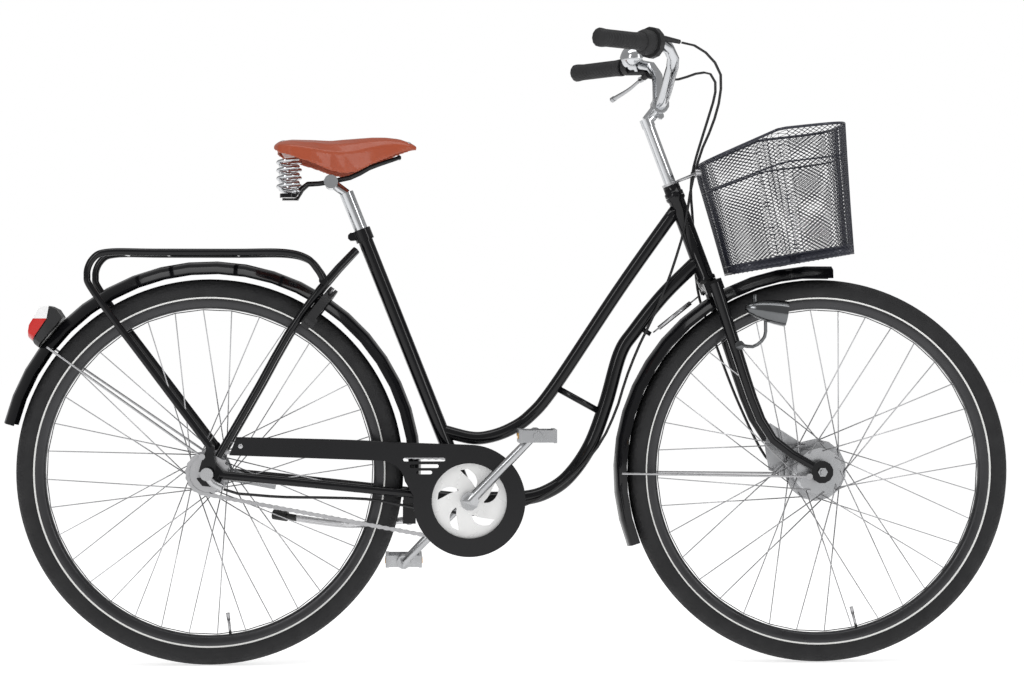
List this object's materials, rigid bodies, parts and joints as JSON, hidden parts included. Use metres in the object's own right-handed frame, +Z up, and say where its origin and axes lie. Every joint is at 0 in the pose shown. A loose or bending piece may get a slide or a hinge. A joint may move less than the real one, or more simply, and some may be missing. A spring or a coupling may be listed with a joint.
{
  "type": "city bicycle",
  "caption": "Step-through city bicycle with swan-neck frame, mudguards, chain guard, rear carrier, wire basket, bell, ring lock, sprung leather saddle and folded side stand.",
  "frame": {"origin": "on the ground, under the middle of the whole bicycle", "axes": "+X forward, +Y to the rider's left, +Z up"},
  "size_m": [1.8472, 0.6054, 1.1609],
  "materials": {
    "black_enamel": "gloss black enamel",
    "chrome": "polished chrome",
    "alloy": "polished aluminium",
    "steel": "zinc-plated steel",
    "rubber": "matt black rubber",
    "tyre": "dark grey tyre rubber with a thin reflective stripe",
    "rim": "dark anodised rim",
    "black_plastic": "satin black plastic",
    "saddle_leather": "waxed tan leather",
    "ring_white": "silver-white painted steel",
    "basket_mesh": "blue-black coated wire mesh",
    "red_lens": "red and clear moulded lens",
    "clear_lens": "clear moulded lens"
  },
  "bodies": {
    "frame": {"head_tube": "black_enamel", "upper_main_tube": "black_enamel", "lower_main_tube": "black_enamel", "seat_tube": "black_enamel", "chain_stays": "black_enamel", "right_seat_stay": "black_enamel", "left_seat_stay": "black_enamel", "rear_axle": "alloy", "rear_mudguard": "black_enamel", "rear_mudguard_stay": "steel", "rear_carrier": "black_enamel", "tail_lamp_housing": "black_plastic", "tail_lamp_lens": "red_lens", "ring_lock_body": "black_plastic", "chain_guard": "black_enamel", "chain": "steel", "shift_cable": "black_plastic", "damper_spring": "steel"},
    "steering": {"fork": "black_enamel", "stem": "chrome", "handlebar": "chrome", "left_grip": "rubber", "right_grip": "rubber", "shifter_housing": "black_plastic", "brake_lever_mount": "black_plastic", "bell_dome": "chrome", "headlight_shell": "chrome", "headlight_lens": "clear_lens", "basket": "basket_mesh", "basket_bracket": "steel", "front_mudguard": "black_enamel", "front_mudguard_stay": "steel", "front_axle": "alloy", "brake_cable": "black_plastic"},
    "front_wheel": {"front_tyre": "tyre", "front_rim": "rim", "front_spokes": "steel", "front_hub": "alloy"},
    "rear_wheel": {"rear_tyre": "tyre", "rear_rim": "rim", "rear_spokes": "steel", "rear_hub": "alloy"},
    "sprocket": {"rear_sprocket": "steel"},
    "crankset": {"chainring": "ring_white", "right_crank": "alloy", "left_crank": "alloy"},
    "right_pedal": {"right_pedal": "alloy"},
    "left_pedal": {"left_pedal": "alloy"},
    "kickstand": {"kickstand_leg": "alloy"},
    "lock_shackle": {"lock_shackle": "steel"},
    "brake_lever": {"brake_lever": "alloy"},
    "brake_cam": {"brake_cam_arm": "steel"},
    "twist_grip": {"twist_grip": "rubber"},
    "bell_lever": {"bell_lever": "chrome"},
    "seat_post": {"seatpost": "chrome", "saddle_rails": "black_enamel", "saddle_spring_left": "chrome", "saddle_spring_right": "chrome"},
    "saddle_top": {"saddle_leather": "saddle_leather"}
  },
  "joints": [
    {"name": "steering", "type": "hinge", "parent": "frame", "child": "steering", "pos_m": [0.3643, 0, 0.7047], "axis": [-0.3524, 0, 0.9359], "range_deg": [-60, 60], "stiffness_Nm_per_rad": 1.5, "deforming": ["shift_cable", "damper_spring"]},
    {"name": "front_wheel_spin", "type": "hinge", "parent": "steering", "child": "front_wheel", "pos_m": [0.5706, 0, 0.353], "axis": [0, 1, 0], "continuous": true},
    {"name": "rear_wheel_spin", "type": "hinge", "parent": "frame", "child": "rear_wheel", "pos_m": [-0.5484, 0, 0.353], "axis": [0, 1, 0], "continuous": true},
    {"name": "crank_spin", "type": "hinge", "parent": "frame", "child": "crankset", "pos_m": [-0.0754, 0, 0.302], "axis": [0, 1, 0], "continuous": true},
    {"name": "sprocket_spin", "type": "hinge", "parent": "frame", "child": "sprocket", "pos_m": [-0.5484, -0.044, 0.353], "axis": [0, 1, 0], "continuous": true},
    {"name": "right_pedal_spin", "type": "hinge", "parent": "crankset", "child": "right_pedal", "pos_m": [0.04375, -0.124, 0.42325], "axis": [0, 1, 0], "continuous": true},
    {"name": "left_pedal_spin", "type": "hinge", "parent": "crankset", "child": "left_pedal", "pos_m": [-0.19455, 0.124, 0.18075], "axis": [0, 1, 0], "continuous": true},
    {"name": "kickstand_fold", "type": "hinge", "parent": "frame", "child": "kickstand", "pos_m": [-0.1844, 0.044, 0.262], "axis": [0, -1, 0], "range_deg": [0, 95]},
    {"name": "ring_lock_shackle", "type": "hinge", "parent": "frame", "child": "lock_shackle", "pos_m": [-0.3595, 0, 0.6389], "axis": [-0.7961, 0, 0.6051], "range_deg": [0, 145], "stiffness_Nm_per_rad": 0.05},
    {"name": "brake_lever_pull", "type": "hinge", "parent": "steering", "child": "brake_lever", "pos_m": [0.2596, 0.176, 1.094], "axis": [0.7204, 0.6203, 0.3102], "range_deg": [0, 20], "stiffness_Nm_per_rad": 1.5},
    {"name": "brake_cam", "type": "hinge", "parent": "steering", "child": "brake_cam", "pos_m": [0.5386, 0.042, 0.338], "axis": [0, 1, 0], "range_deg": [0, 17]},
    {"name": "twist_shift", "type": "hinge", "parent": "steering", "child": "twist_grip", "pos_m": [0.1436, -0.29, 1.118], "axis": [0.707, 0.707, 0.0195], "range_deg": [0, 60]},
    {"name": "bell_lever", "type": "hinge", "parent": "steering", "child": "bell_lever", "pos_m": [0.2556, 0.178, 1.121], "axis": [-0.5473, -0.5143, 0.6603], "range_deg": [0, 30], "stiffness_Nm_per_rad": 0.05},
    {"name": "seatpost_height", "type": "slide", "parent": "frame", "child": "seat_post", "axis": [-0.3703, 0, 0.9289], "range_m": [-0.05, 0.06]},
    {"name": "saddle_flex", "type": "hinge", "parent": "seat_post", "child": "saddle_top", "pos_m": [-0.2034, 0, 0.93], "axis": [0, -1, 0], "range_deg": [0, 4], "stiffness_Nm_per_rad": 400, "deforming": ["saddle_spring_left", "saddle_spring_right"]}
  ],
  "couplings": [
    {"joint": "sprocket_spin", "follows": "crank_spin", "ratio": 2},
    {"joint": "brake_cam", "follows": "brake_lever_pull", "ratio": 0.8}
  ]
}
